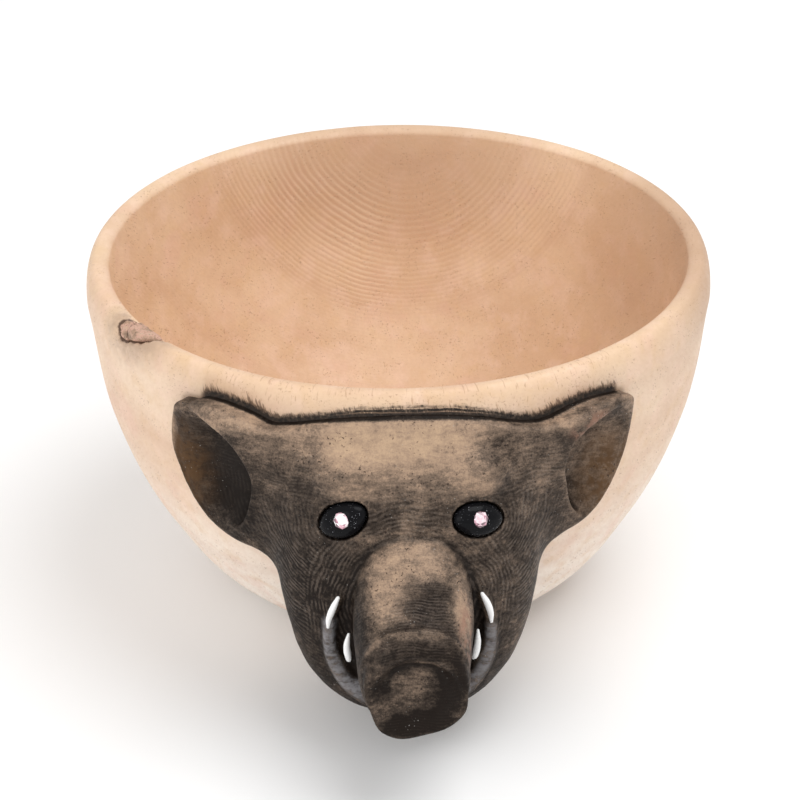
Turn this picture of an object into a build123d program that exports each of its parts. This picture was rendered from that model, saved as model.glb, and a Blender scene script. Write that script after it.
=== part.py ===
"""Carved wooden bowl with a warthog's head on its front wall.

Millimetres. +Z is up, the origin is the centre of the foot, and the head faces -Y.
"left" is the -X side, which is on the left of a viewer who faces the head.
"""

import os
from math import cos, radians, sin

from build123d import *

SIDES = (("left", -1), ("right", 1))

# Bowl
HEIGHT = 86.0
RIM_R = 75.0  # widest outer radius
WIDEST_Z = 77.0
FOOT_R = 36.0
OPENING_R = 68.7  # radius of the inner edge of the rim
OPENING_Z = 84.6
RIM_CREST_R = 71.6
FLOOR = 11.0  # thickness of wood in the middle of the bottom
OUTER_WALL = [(48.6, 8.0), (59.8, 24.0), (70.8, 50.0)]  # radius and height, between foot and widest ring
INNER_WALL = [(62.6, 50.0), (50.5, 30.0), (30.0, 16.6)]  # from the rim down to the floor
FOOT_RISE = 20.0  # degrees at which the wall leaves the foot

# Face: level sections from the crown down to the chin, as (z, y where the sides turn, half width, depth)
FACE_SECTIONS = [
    (80.8, -56.0, 32.6, 20.6),
    (74.0, -57.0, 33.4, 22.4),
    (60.0, -62.0, 32.0, 24.2),
    (50.0, -65.0, 31.0, 23.0),
    (38.0, -69.0, 29.5, 19.6),
    (30.0, -72.0, 27.8, 16.4),
    (24.0, -74.0, 25.8, 14.2),
    (18.0, -75.5, 22.8, 12.2),
    (12.5, -76.6, 17.6, 9.8),
    (8.0, -77.0, 8.6, 6.0),
]
HEAD_BACK = -44.0  # the face's straight sides run back to here, inside the bowl

# Snout: upright ellipses from inside the face out to the nose, as (y, centre z, half width, half height)
SNOUT_SECTIONS = [
    (-62.0, 40.0, 15.4, 20.8),
    (-80.0, 39.5, 14.6, 20.0),
    (-88.0, 38.2, 13.5, 18.9),
    (-95.0, 35.7, 12.7, 16.2),
    (-101.0, 33.6, 12.0, 13.4),
    (-106.0, 32.7, 11.4, 12.2),
]
NOSE_END = -109.8
NOSE_EDGE = 1.0

# Ears, laid on the wall as (degrees round from the front, height): the edge from the top of
# the brow out to the tip and down to the jaw, and the hollow's closed outline
EAR_TOP = [(21.5, 76.6), (32.0, 79.0), (39.4, 79.2)]
EAR_EDGE = {
    "left": [(41.8, 74.5), (43.2, 66.0), (42.4, 59.0), (39.6, 50.8), (35.4, 45.4), (21.5, 42.0)],
    "right": [(40.4, 73.5), (39.9, 65.5), (38.4, 58.8), (36.0, 52.9), (32.6, 48.2), (21.5, 43.8)],
}
EAR_HOLLOW = {
    "left": [
        (36.8, 77.0), (39.9, 70.0), (41.1, 61.0), (38.2, 51.2),
        (32.6, 47.8), (27.6, 56.0), (26.6, 65.0), (31.0, 74.6),
    ],
    "right": [
        (36.0, 76.0), (38.3, 69.0), (37.4, 60.2), (34.0, 52.6),
        (30.6, 50.2), (27.2, 58.0), (26.5, 67.0), (30.4, 73.8),
    ],
}
EAR_MIDDLE = 34.0  # bearing that the ears' outlines are square to
EAR_RELIEF = 4.6  # how far the ear stands out of the wall
EAR_FLOOR = 1.2  # wood left under the hollow

# Lips, from under the snout round the mouth and up the cheek, with their radii
LIPS = {
    "left": [
        (-3.2, -87.0, 12.6), (-12.5, -86.0, 17.0), (-16.4, -85.6, 22.0),
        (-18.6, -85.2, 28.2), (-18.4, -85.4, 34.5), (-16.2, -86.0, 42.0),
    ],
    "right": [
        (3.2, -87.0, 12.8), (12.4, -86.0, 18.0), (16.0, -85.6, 23.4),
        (17.6, -85.2, 29.4), (17.2, -85.5, 35.6), (15.4, -86.2, 42.4),
    ],
}
LIP_RADII = [2.0, 2.0, 1.8, 1.6, 1.2, 0.7]

# Eyes
EYES = {"left": (-14.7, -82.8, 60.3), "right": (14.6, -83.0, 59.8)}
EYE_HALF = (5.8, 2.7, 3.9)
EYE_YAW, EYE_PITCH = 24.0, 20.0  # degrees that each eye looks outwards and up
EYE_ROLL = {"left": 31.0, "right": -12.5}  # degrees that its right end is turned up
STONE_YAW, STONE_PITCH = 4.0, 30.0
STONE_R = 1.95
STONE_TABLE_R = 1.05
STONE_SIDES = 8
STONE_GIRDLE = 0.35
STONE_CROWN = 0.75
STONE_BASE = 0.9
STONE_SEAT = 2.4  # from the eye's centre to the stone's girdle

# Tusks, from root to tip, with their radii
UPPER_TUSKS = {
    "left": [(-18.6, -86.1, 34.6), (-18.4, -86.5, 37.0), (-17.6, -86.8, 39.6), (-16.2, -87.0, 43.0)],
    "right": [(17.4, -86.2, 35.0), (17.2, -86.6, 37.6), (16.5, -86.9, 40.3), (15.2, -87.1, 43.2)],
}
UPPER_TUSK_RADII = [0.35, 0.65, 0.78, 0.7, 0.4]
LOWER_TUSKS = {
    "left": [(-13.8, -84.4, 24.8), (-14.7, -86.8, 27.2), (-15.1, -87.7, 30.8), (-14.4, -88.2, 34.2)],
    "right": [(13.0, -84.4, 24.6), (14.0, -86.7, 27.0), (14.6, -87.6, 30.8), (14.4, -88.0, 34.2)],
}
LOWER_TUSK_RADII = [0.6, 0.85, 0.95, 0.8, 0.4]
ROD_STATIONS = 9  # sections along each lip and tusk

# Knot in the rim
KNOT_BEARING = 55.5  # degrees round from the front, towards the left
KNOT_R = 72.9
KNOT_Z = 84.4
KNOT_HALF = (7.7, 3.6, 3.8)  # along the rim, through the wall, upright


def outer_body(relief=0.0):
    """The bowl's outside as a filled solid, with its wall moved out by relief."""
    wall = [(r + relief, z) for r, z in OUTER_WALL]
    start, widest = (FOOT_R + relief, 0.0), (RIM_R + relief, WIDEST_Z)
    rise = (cos(radians(FOOT_RISE)), sin(radians(FOOT_RISE)))
    with BuildPart() as body:
        with BuildSketch(Plane.XZ):
            with BuildLine():
                Line((0, 0), start)
                Spline(start, *wall, widest, tangents=(rise, (0, 1)))
                Spline(widest, (RIM_CREST_R + relief, HEIGHT), tangents=((0, 1), (-1, 0.05)))
                Line((RIM_CREST_R + relief, HEIGHT), (0, HEIGHT))
                Line((0, HEIGHT), (0, 0))
            make_face()
        revolve(axis=Axis.Z)
    return body.part


def cavity():
    """The space inside the bowl, up to and past the rim's crest."""
    with BuildPart() as space:
        with BuildSketch(Plane.XZ):
            with BuildLine():
                crest, edge, floor = (RIM_CREST_R, HEIGHT), (OPENING_R, OPENING_Z), (0, FLOOR)
                Spline(crest, edge, tangents=((-1, -0.05), (-0.45, -1)))
                Spline(edge, *INNER_WALL, floor, tangents=((-0.06, -1), (-1, 0)))
                Polyline(floor, (0, HEIGHT + 5), (RIM_CREST_R, HEIGHT + 5), crest)
            make_face()
        revolve(axis=Axis.Z)
    return space.part


def ellipsoid(half, at, yaw=0.0, pitch=0.0, roll=0.0):
    """An ellipsoid turned by roll about -Y, by pitch about X and then by yaw about Z."""
    shape = scale(Rot(90, 0, 0) * Sphere(1.0), by=half)
    return Pos(*at) * Rot(0, 0, yaw) * Rot(pitch, 0, 0) * Rot(0, -roll, 0) * shape


def on_wall(points, sign):
    """Points (bearing, height) as flat points square to the ear's middle bearing."""
    return [(sign * RIM_R * sin(radians(a - EAR_MIDDLE)), z) for a, z in points]


def through_wall(edges, sign):
    """A closed outline pushed outwards through the wall, along the ear's middle bearing."""
    outward = (sign * sin(radians(EAR_MIDDLE)), -cos(radians(EAR_MIDDLE)), 0)
    along_wall = (cos(radians(EAR_MIDDLE)), sign * sin(radians(EAR_MIDDLE)), 0)
    prism = extrude(make_face(edges), amount=2 * RIM_R, dir=(0, 0, 1))
    return Plane(origin=(0, 0, 0), x_dir=along_wall, z_dir=outward) * prism


def ear(side, sign):
    top, edge = on_wall(EAR_TOP, sign), on_wall(EAR_EDGE[side], sign)
    outline = [Polyline(edge[-1], *top), Spline(top[-1], *edge)]
    relief = outer_body(EAR_RELIEF) & through_wall(outline, sign)
    hollow = Spline(*on_wall(EAR_HOLLOW[side], sign), periodic=True).edges()
    return relief - (through_wall(hollow, sign) - outer_body(EAR_FLOOR))


def face_section(z, y, half_width, depth):
    """A half ellipse in front of y, with straight sides running back into the bowl."""
    front = EllipticalCenterArc((0, y), half_width, depth, start_angle=180, arc_size=180)
    right, left = (half_width, HEAD_BACK), (-half_width, HEAD_BACK)
    sides = Polyline((half_width, y), right, left, (-half_width, y))
    return Pos(0, 0, z) * make_face(front.edges() + sides.edges()).face()


def face():
    return loft([face_section(*section) for section in FACE_SECTIONS])


def upright(y, z):
    return Plane(origin=(0, y, z), x_dir=(1, 0, 0), z_dir=(0, -1, 0))


def snout():
    rings = [upright(y, z) * Ellipse(w, h).face() for y, z, w, h in SNOUT_SECTIONS]
    end_y, end_z, half_width, half_height = SNOUT_SECTIONS[-1]
    pad = extrude(upright(end_y, end_z) * Ellipse(half_width, half_height).face(), amount=end_y - NOSE_END)
    pad = fillet(pad.edges().sort_by(Axis.Y)[0], NOSE_EDGE)
    return loft(rings) + pad


def rod(points, radii):
    """A round rod along a smooth line, with its radius changing evenly from one to the next."""
    line = Spline(*points)
    rings = []
    for i in range(ROD_STATIONS):
        share = i / (ROD_STATIONS - 1)
        along = share * (len(radii) - 1)
        k = min(int(along), len(radii) - 2)
        radius = radii[k] + (radii[k + 1] - radii[k]) * (along - k)
        rings.append(Plane(origin=line @ share, z_dir=line % share) * Circle(radius).face())
    return loft(rings)


def stone():
    """A flat-backed cut stone, its table facing +Z and its girdle at z 0."""
    girdle = RegularPolygon(STONE_R, STONE_SIDES).face()
    table = RegularPolygon(STONE_TABLE_R, STONE_SIDES).face()
    band = Pos(0, 0, -STONE_GIRDLE) * extrude(girdle, amount=STONE_GIRDLE)
    crown = loft([girdle, Pos(0, 0, STONE_CROWN) * table])
    base = loft([Pos(0, 0, -STONE_GIRDLE - STONE_BASE) * table, Pos(0, 0, -STONE_GIRDLE) * girdle])
    return band + crown + base


def placed_stone(side, sign):
    facing = Rot(0, 0, sign * STONE_YAW) * Rot(-STONE_PITCH, 0, 0)
    return Pos(*EYES[side]) * facing * Pos(0, -STONE_SEAT, 0) * Rot(90, 0, 0) * stone()


def knot_plug():
    angle = radians(KNOT_BEARING)
    at = (-KNOT_R * sin(angle), -KNOT_R * cos(angle), KNOT_Z)
    return ellipsoid(KNOT_HALF, at, yaw=-KNOT_BEARING)


def build():
    outside = outer_body()
    whole_bowl = outside - cavity()
    plug = knot_plug()
    parts = {"bowl": whole_bowl - plug, "rim_knot": whole_bowl & plug}

    head = face() + snout()
    for side, sign in SIDES:
        head = head + ear(side, sign) + rod(LIPS[side], LIP_RADII)
    head = head - outside

    for side, sign in SIDES:
        gem = placed_stone(side, sign)
        eye = ellipsoid(EYE_HALF, EYES[side], sign * EYE_YAW, -EYE_PITCH, EYE_ROLL[side])
        upper = rod(UPPER_TUSKS[side], UPPER_TUSK_RADII)
        lower = rod(LOWER_TUSKS[side], LOWER_TUSK_RADII)
        parts[f"eye_{side}"] = eye - gem
        parts[f"eye_stone_{side}"] = gem
        parts[f"upper_tusk_{side}"] = upper
        parts[f"lower_tusk_{side}"] = lower
        head = head - eye - gem - upper - lower
    parts["warthog_head"] = head
    return parts


if __name__ == "__main__":
    os.makedirs("parts", exist_ok=True)
    for node, shape in build().items():
        export_step(shape, f"parts/{node}.step")
        print(node, round(shape.volume / 1000, 2), "cm3", shape.bounding_box())
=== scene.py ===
"""The looks of a carved wooden bowl with a warthog's head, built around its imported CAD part.

Shapes are worked out in millimetres, as in the CAD, and every mesh is made in metres.
+Z is up, the origin is the centre of the foot, and the head faces -Y. "left" is -X.
A bearing is in degrees round the bowl from the front, negative towards the left.
"""

from math import cos, pi, radians, sin

import bpy
import numpy as np
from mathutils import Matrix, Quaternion, Vector


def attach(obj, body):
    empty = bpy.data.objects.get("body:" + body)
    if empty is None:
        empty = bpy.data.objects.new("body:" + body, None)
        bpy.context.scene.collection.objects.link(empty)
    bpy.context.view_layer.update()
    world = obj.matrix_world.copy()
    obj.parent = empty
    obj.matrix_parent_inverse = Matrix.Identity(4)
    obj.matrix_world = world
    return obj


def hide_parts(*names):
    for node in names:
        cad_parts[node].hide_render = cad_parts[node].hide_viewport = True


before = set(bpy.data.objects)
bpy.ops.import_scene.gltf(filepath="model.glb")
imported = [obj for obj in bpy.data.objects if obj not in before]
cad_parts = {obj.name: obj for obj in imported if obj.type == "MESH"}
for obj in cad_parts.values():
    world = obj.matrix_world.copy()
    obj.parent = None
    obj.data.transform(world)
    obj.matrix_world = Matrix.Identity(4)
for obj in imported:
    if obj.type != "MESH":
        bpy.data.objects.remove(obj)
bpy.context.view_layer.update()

MM = 0.001  # metres in a millimetre


# ---------------------------------------------------------------- curves and fields


def curve(knots, values, count=240):
    """A smooth curve through (knot, value) points, as two arrays for np.interp."""
    order = np.argsort(knots)
    knots, values = np.array(knots, float)[order], np.array(values, float)[order]
    slopes = np.gradient(values, knots)
    t = np.linspace(knots[0], knots[-1], count)
    i = np.clip(np.searchsorted(knots, t, "right") - 1, 0, len(knots) - 2)
    width = knots[i + 1] - knots[i]
    f = (t - knots[i]) / width
    eased = values[i] + (values[i + 1] - values[i]) * f * f * (3 - 2 * f)
    return t, eased + width * f * (1 - f) * (slopes[i] * (1 - f) - slopes[i + 1] * f)


def path(points, count):
    """Evenly spread points along a smooth path through the given ones."""
    points = np.array(points, float)
    run = np.r_[0, np.cumsum(np.linalg.norm(np.diff(points, axis=0), axis=1))]
    return np.stack([curve(run, column, count)[1] for column in points.T], -1)


def smooth_max(a, b, blend):
    gap = np.clip(0.5 + 0.5 * (a - b) / blend, 0, 1)
    return b + (a - b) * gap + blend * gap * (1 - gap)


def smooth_min(a, b, blend):
    return -smooth_max(-a, -b, blend)


def smooth_step(value, low, high):
    t = np.clip((value - low) / (high - low), 0, 1)
    return t * t * (3 - 2 * t)


def value_noise(p, cell, seed):
    """Smooth random values from -1 to 1 that change over about one cell."""
    q = p / cell
    base = np.floor(q).astype(np.int64)
    f = q - base
    f = f * f * (3 - 2 * f)
    total = np.zeros(len(p))
    for corner in np.ndindex(2, 2, 2):
        c = base + corner
        h = (c[:, 0] * 73856093) ^ (c[:, 1] * 19349663) ^ (c[:, 2] * 83492791) ^ (seed * 2654435)
        h = ((h ^ (h >> 13)) * 1274126177) & 0xFFFFFF
        weight = np.prod(np.where(corner, f, 1 - f), axis=1)
        total += weight * (((h ^ (h >> 11)) & 0xFFFF) / 32767.5 - 1)
    return total


def ellipsoid(p, centre, half, yaw=0.0, pitch=0.0, roll=0.0):
    """Distance to an ellipsoid turned by roll, by pitch and then by yaw."""
    q = (p - np.array(centre)) @ turn(yaw, pitch, roll)
    half = np.array(half)
    k = np.linalg.norm(q / half, axis=1)
    return k * (k - 1) / np.maximum(np.linalg.norm(q / half**2, axis=1), 1e-9)


def turn(yaw, pitch, roll=0.0):
    """Rotation matrix: roll about -Y, then pitch about X, then yaw about Z, all in degrees."""
    a, b, c = radians(yaw), radians(pitch), radians(roll)
    about_z = np.array([[cos(a), -sin(a), 0], [sin(a), cos(a), 0], [0, 0, 1]])
    about_x = np.array([[1, 0, 0], [0, cos(b), -sin(b)], [0, sin(b), cos(b)]])
    about_y = np.array([[cos(c), 0, -sin(c)], [0, 1, 0], [sin(c), 0, cos(c)]])
    return about_z @ about_x @ about_y


def tube(p, points, radii):
    """Distance to a round rod along a smooth path, with its radius changing along it."""
    line = path(points, 3 * len(points))
    radius = np.interp(np.linspace(0, 1, len(line)), np.linspace(0, 1, len(radii)), radii)
    nearest = np.full(len(p), np.inf)
    for a, b, ra, rb in zip(line, line[1:], radius, radius[1:]):
        t = np.clip((p - a) @ (b - a) / ((b - a) @ (b - a)), 0, 1)
        gap = np.linalg.norm(p - a - t[:, None] * (b - a), axis=1) - ra - t * (rb - ra)
        nearest = np.minimum(nearest, gap)
    return nearest


def line_distance(u, v, outline):
    """Distance in a plane to an open line through the outline's points."""
    nearest = np.full(len(u), np.inf)
    for (ax, ay), (bx, by) in zip(outline, outline[1:]):
        dx, dy = bx - ax, by - ay
        t = np.clip(((u - ax) * dx + (v - ay) * dy) / (dx * dx + dy * dy), 0, 1)
        nearest = np.minimum(nearest, np.hypot(u - ax - t * dx, v - ay - t * dy))
    return nearest


def outline_distance(u, v, outline):
    """Signed distance in a plane to a closed outline, negative inside it."""
    closed = np.vstack([outline, outline[:1]])
    inside = np.zeros(len(u), bool)
    for (ax, ay), (bx, by) in zip(closed, closed[1:]):
        if ay != by:
            inside ^= ((ay > v) != (by > v)) & (u < (bx - ax) * (v - ay) / (by - ay) + ax)
    return np.where(inside, -1, 1) * line_distance(u, v, closed)


def loft(t, u, v, sections, front_only=False):
    """Distance to a solid with rounded sections (t, centre u, centre v, half u, half v, power).

    With front_only, the part beyond centre v runs on straight.
    """
    sections = np.array(sections, float)
    cu, cv, hu, hv, power = [
        np.interp(t, *curve(sections[:, 0], column)) for column in sections[:, 1:].T
    ]
    v = np.minimum(v, cv) if front_only else v
    a, b = np.abs(u - cu) / hu + 1e-9, np.abs(v - cv) / hv + 1e-9
    size = (a**power + b**power) ** (1 / power)
    slope = np.hypot((a / size) ** (power - 1) / hu, (b / size) ** (power - 1) / hv)
    return (size - 1) / slope


# ---------------------------------------------------------------- meshes


def surface_net(field, low, high, step):
    """Points and quads of the zero surface of a field inside a box."""
    axes = [np.arange(a, b + step, step) for a, b in zip(low, high)]
    grid = np.stack(np.meshgrid(*axes, indexing="ij"), -1)
    values = np.concatenate([field(slab.reshape(-1, 3)) for slab in grid]).reshape(grid.shape[:3])
    sums = np.zeros(values.shape + (3,))
    counts = np.zeros(values.shape)
    rings = []
    for axis in range(3):
        along, side, up = np.roll(np.eye(3, dtype=int), -axis, axis=0)
        ends = tuple(slice(None, -1 if k == axis else None) for k in range(3))
        starts = tuple(slice(1 if k == axis else 0, None) for k in range(3))
        start = np.argwhere((values[ends] < 0) != (values[starts] < 0))
        a, b = values[tuple(start.T)], values[tuple((start + along).T)]
        crossing = start + (a / (a - b))[:, None] * along
        ring = [start - side - up, start - up, start, start - side]
        for cell in ring:
            np.add.at(sums, tuple(cell.T), crossing)
            np.add.at(counts, tuple(cell.T), 1)
        ring = np.stack(ring, 1)
        rings.append(np.where((a < 0)[:, None, None], ring, ring[:, ::-1]))
    used = counts > 0
    number = np.cumsum(used.ravel()).reshape(used.shape) - 1
    points = np.array(low) + step * sums[used] / counts[used][:, None]
    quads = number[tuple(np.moveaxis(np.concatenate(rings), -1, 0))]
    return points, quads


def gradient(p, field, reach=0.02):
    """Direction in which a field grows, one row per point."""
    steps = reach * np.eye(3)
    return np.stack([field(p + s) - field(p - s) for s in steps], -1) / (2 * reach)


def settle(p, field, rounds=2, longest=0.5):
    """Moves points onto a field's zero surface."""
    for _ in range(rounds):
        g = gradient(p, field)
        steepness = np.maximum((g * g).sum(1), 0.05)
        p = p - g * np.clip(field(p) / steepness, -longest, longest)[:, None]
    return p


def edges_of(quads):
    pairs = np.stack([quads, np.roll(quads, -1, axis=1)], -1).reshape(-1, 2)
    return np.unique(np.sort(pairs, axis=1), axis=0, return_inverse=True)


def relax(p, quads, share=0.5, rounds=1):
    """Moves each point towards the mean of its neighbours."""
    pairs, _ = edges_of(quads)
    one, other = np.vstack([pairs, pairs[:, ::-1]]).T
    count = np.bincount(one, minlength=len(p))
    for _ in range(rounds):
        total = np.stack([np.bincount(one, column[other], len(p)) for column in p.T], -1)
        p = p + share * (total / count[:, None] - p)
    return p


def subdivide(p, quads):
    """Splits each quad into four."""
    pairs, inverse = edges_of(quads)
    middles = inverse.reshape(-1, 4) + len(p)
    centres = np.arange(len(quads)) + len(p) + len(pairs)
    points = np.vstack([p, p[pairs].mean(1), p[quads].mean(1)])
    before = np.roll(middles, 1, axis=1)
    around = np.repeat(centres[:, None], 4, axis=1)
    return points, np.stack([quads, middles, around, before], -1).reshape(-1, 4)


def make_piece(name, points, faces, material, values=None, face_values=None):
    """An object from points in millimetres, with named values on its points or its faces.

    Its faces are smooth-shaded, unless they carry values of their own.
    """
    mesh = bpy.data.meshes.new(name)
    mesh.from_pydata((np.asarray(points) * MM).tolist(), [], [list(map(int, f)) for f in faces])
    for domain, table in (("POINT", values or {}), ("FACE", face_values or {})):
        for key, numbers in table.items():
            layer = mesh.attributes.new(key, "FLOAT", domain)
            layer.data.foreach_set("value", np.asarray(numbers, np.float32))
    mesh.polygons.foreach_set("use_smooth", np.full(len(mesh.polygons), face_values is None))
    mesh.materials.append(material)
    piece = bpy.data.objects.new(name, mesh)
    bpy.context.scene.collection.objects.link(piece)
    return piece


def ring_faces(rows, sides):
    """Faces between rings of points that go up and round, with a fan at each end."""
    i, j = np.meshgrid(np.arange(rows - 1), np.arange(sides), indexing="ij")
    after = (j + 1) % sides
    quads = np.stack([i * sides + j, i * sides + after, (i + 1) * sides + after, (i + 1) * sides + j], -1)
    first, last, top = rows * sides, rows * sides + 1, (rows - 1) * sides
    fans = [(first, (k + 1) % sides, k) for k in range(sides)]
    fans += [(last, top + k, top + (k + 1) % sides) for k in range(sides)]
    return [tuple(q) for q in quads.reshape(-1, 4)] + fans


def swept(points, radii, count, sides):
    """Points and faces of a closed round rod along a path."""
    line = path(points, count)
    radius = np.interp(np.linspace(0, 1, count), np.linspace(0, 1, len(radii)), radii)
    ahead = np.gradient(line, axis=0)
    ahead /= np.linalg.norm(ahead, axis=1)[:, None]
    side = np.cross(ahead, [0.0, 1.0, 0.0])
    side /= np.linalg.norm(side, axis=1)[:, None]
    front = np.cross(side, ahead)
    angle = np.linspace(0, 2 * pi, sides, endpoint=False)[None, :, None]
    round_it = side[:, None] * np.cos(angle) + front[:, None] * np.sin(angle)
    rings = line[:, None] + round_it * radius[:, None, None]
    ends = [line[:1] - ahead[:1] * radius[0], line[-1:] + ahead[-1:] * radius[-1]]
    faces = [face[:1] + face[:0:-1] for face in ring_faces(count, sides)]
    return np.vstack([rings.reshape(-1, 3), *ends]), faces


# ---------------------------------------------------------------- the bowl

HEIGHT = 86.0
OUTER_WALL = [(36.0, 0.0), (42.6, 3.0), (48.6, 8.0), (59.8, 24.0), (70.8, 50.0), (74.95, 77.0)]
RIM_CREST_R = 71.6
OPENING_R, OPENING_Z = 68.7, 84.6
INNER_WALL = [(62.6, 50.0), (50.5, 30.0), (30.0, 16.6), (0.0, 11.0)]
BOWL_ROWS, BOWL_SIDES = 190, 500
WALL_Z, WALL_R = curve([z for _, z in OUTER_WALL], [r for r, _ in OUTER_WALL])
WALL_LEAN = np.cos(np.arctan(np.gradient(WALL_R, WALL_Z)))


def rim_r(z):
    """The wall's radius between its widest ring and the rim's crest."""
    widest, top = OUTER_WALL[-1]
    lift = np.clip((z - top) / (HEIGHT - top), 0, 1)
    return RIM_CREST_R + (widest - RIM_CREST_R) * (1 - lift**2.3) ** (1 / 2.3)


def wall_r(z):
    return np.where(z > OUTER_WALL[-1][1], rim_r(z), np.interp(z, WALL_Z, WALL_R))


def wall_height(p):
    """How far points stand out of the bowl's outer wall, measured square to it."""
    r = np.hypot(p[:, 0], p[:, 1])
    return (r - wall_r(p[:, 2])) * np.interp(p[:, 2], WALL_Z, WALL_LEAN)


def bearing(p):
    return np.degrees(np.arctan2(p[:, 0], -p[:, 1]))


def bowl_profile():
    """The bowl's section from the middle of the foot, out and over the rim, to the middle of the floor."""
    widest = OUTER_WALL[-1][1]
    foot = [(r, 0.0) for r in np.linspace(0, OUTER_WALL[0][0], 20)[:-1]]
    wall = [(float(np.interp(z, WALL_Z, WALL_R)), z) for z in np.linspace(0, widest, 200)]
    rim = [(float(rim_r(z)), z) for z in HEIGHT - (HEIGHT - widest) * np.linspace(1, 0, 60)[1:] ** 1.6]
    lip = path([(RIM_CREST_R, HEIGHT), (70.2, 85.75), (69.2, 85.2), (OPENING_R, OPENING_Z)], 20)[1:]
    inner = path([(OPENING_R, OPENING_Z)] + INNER_WALL, 200)[1:]
    return np.vstack([foot, wall, rim, lip, inner])


PROFILE = bowl_profile()
PROFILE_RUN = np.r_[0, np.cumsum(np.hypot(*np.diff(PROFILE, axis=0).T))]
CREST_RUN = PROFILE_RUN[np.argmax(PROFILE[:, 1])]  # run along the profile, in mm, to the rim's crest


def on_bowl(angle, run, height):
    """The point at a bearing and a run along the profile, standing height out of the wood."""
    r, z = (np.interp(run, PROFILE_RUN, column) for column in PROFILE.T)
    slope_r, slope_z = (
        np.interp(run, PROFILE_RUN, np.gradient(column, PROFILE_RUN)) for column in PROFILE.T
    )
    size = np.hypot(slope_r, slope_z)
    r, z = r + height * slope_z / size, z - height * slope_r / size
    a = np.radians(angle)
    return np.stack([r * np.sin(a), -r * np.cos(a), z], -1)


def spread(low, high, count, dense):
    """Count places from low to high, closer together where dense, a function, is larger."""
    fine = np.linspace(low, high, 4000)
    share = np.cumsum(dense(fine))
    return np.interp(np.linspace(share[0], share[-1], count), share, fine)


# ---------------------------------------------------------------- the head

# Level sections of the face: height, centre x and y, half width, half depth, squareness
FACE = [
    (84.0, 0.0, -55.0, 35.5, 20.0, 2.3),
    (76.0, 0.0, -56.0, 34.5, 22.2, 2.3),
    (68.0, 0.0, -59.0, 33.2, 23.6, 2.2),
    (60.0, 0.0, -62.0, 32.0, 24.2, 2.1),
    (50.0, 0.0, -65.0, 31.0, 23.0, 2.1),
    (38.0, -0.3, -69.0, 29.3, 19.6, 2.2),
    (30.0, -0.4, -72.0, 27.5, 16.4, 2.2),
    (24.0, -0.6, -74.0, 25.5, 14.2, 2.2),
    (18.0, -0.8, -75.5, 22.4, 12.2, 2.1),
    (13.5, -0.8, -76.5, 18.4, 10.2, 2.1),
    (10.0, -0.8, -77.0, 13.4, 8.0, 2.0),
    (8.0, -0.8, -77.0, 8.0, 5.5, 2.0),
]
JAW_RISE = 0.25  # slope of the jaw's underside, up towards the bowl
# Upright sections of the snout: y, centre x and z, half width, half height, squareness
SNOUT = [
    (-60.0, 0.2, 40.0, 16.0, 21.0, 2.4),
    (-80.0, 0.2, 39.5, 14.8, 20.0, 2.4),
    (-88.0, 0.1, 38.2, 13.6, 18.9, 2.4),
    (-95.0, -0.1, 35.8, 12.9, 16.2, 2.4),
    (-101.0, -0.2, 33.6, 12.3, 13.4, 2.4),
    (-106.0, 0.0, 32.8, 12.0, 12.5, 2.4),
    (-112.0, 0.1, 32.6, 13.2, 13.6, 2.5),
]
CREASE, CREASE_WIDTH = 0.7, 1.6  # groove where the snout leaves the face
NOSE_Y, NOSE_Z, NOSE_TILT = -109.2, 32.6, 2.0  # the end of the snout, and the degrees it faces up
NOSE_DISH = 2.4  # depth of the hollow in the nose, at its middle
# The nose's edge, in x and height from NOSE_Z: a blunt cut at the lower left, rounder elsewhere
NOSE_OUTLINE = [
    (0.4, 12.2), (5.8, 11.0), (9.8, 7.8), (11.5, 3.2), (11.3, -1.4), (10.7, -5.4), (8.0, -8.8),
    (1.0, -11.4), (-4.9, -11.9), (-7.5, -10.6), (-10.2, -4.8), (-11.1, -1.4), (-11.3, 2.4),
    (-10.4, 6.6), (-8.0, 9.8), (-4.2, 11.7),
]  # fmt: skip
NOSE_FLARE_Y = -105.5  # behind here the nose's edge runs out into the snout
NOSE_ROUNDING = 6.0  # how much softer the nose's upper edge is than its lower one
NOSE_RIDGE_Y, NOSE_RIDGE = -105.2, 0.45  # the fold across the top of the snout, behind the nose
HEAD_TOP = [  # the top edge of the head and ears on the wall, as (bearing, height)
    (-42, 77.6), (-39.5, 77.8), (-37.8, 78.2), (-36, 79.3), (-33, 79.7), (-30, 79.5),
    (-26.5, 78.6), (-23, 77.2), (-20, 77.8), (-16, 79.0), (-13, 79.8), (-5, 81.0), (5, 81.0),
    (12, 79.7), (19, 77.2), (22.5, 76.3), (25.5, 77.0), (28, 77.8), (31, 78.2), (34, 78.0),
    (38, 77.2), (42, 76.4),
]  # fmt: skip
EAR_TOP_RISE = 0.22  # slope of the ears' tops, up and away from the wall
BURNED_FROM, BURNED_TO = -36.8, 38.0  # bearings between which the head's top edge is burned
HEAD_SINK = 0.9  # how far the head reaches into the bowl's wall

EYES = {"left": (-14.7, -82.8, 60.3), "right": (14.6, -83.0, 59.8)}
EYE_HALF = (5.8, 2.7, 3.9)
EYE_GAP = 0.15  # between an eye and its socket
EYE_YAW, EYE_PITCH = 24.0, 20.0  # degrees that each eye looks outwards and up
EYE_ROLL = {"left": 31.0, "right": -12.5}  # degrees that its right end is turned up
BROWS = {"left": (-14.0, -78.6, 68.6), "right": (14.5, -78.6, 68.6)}

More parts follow.
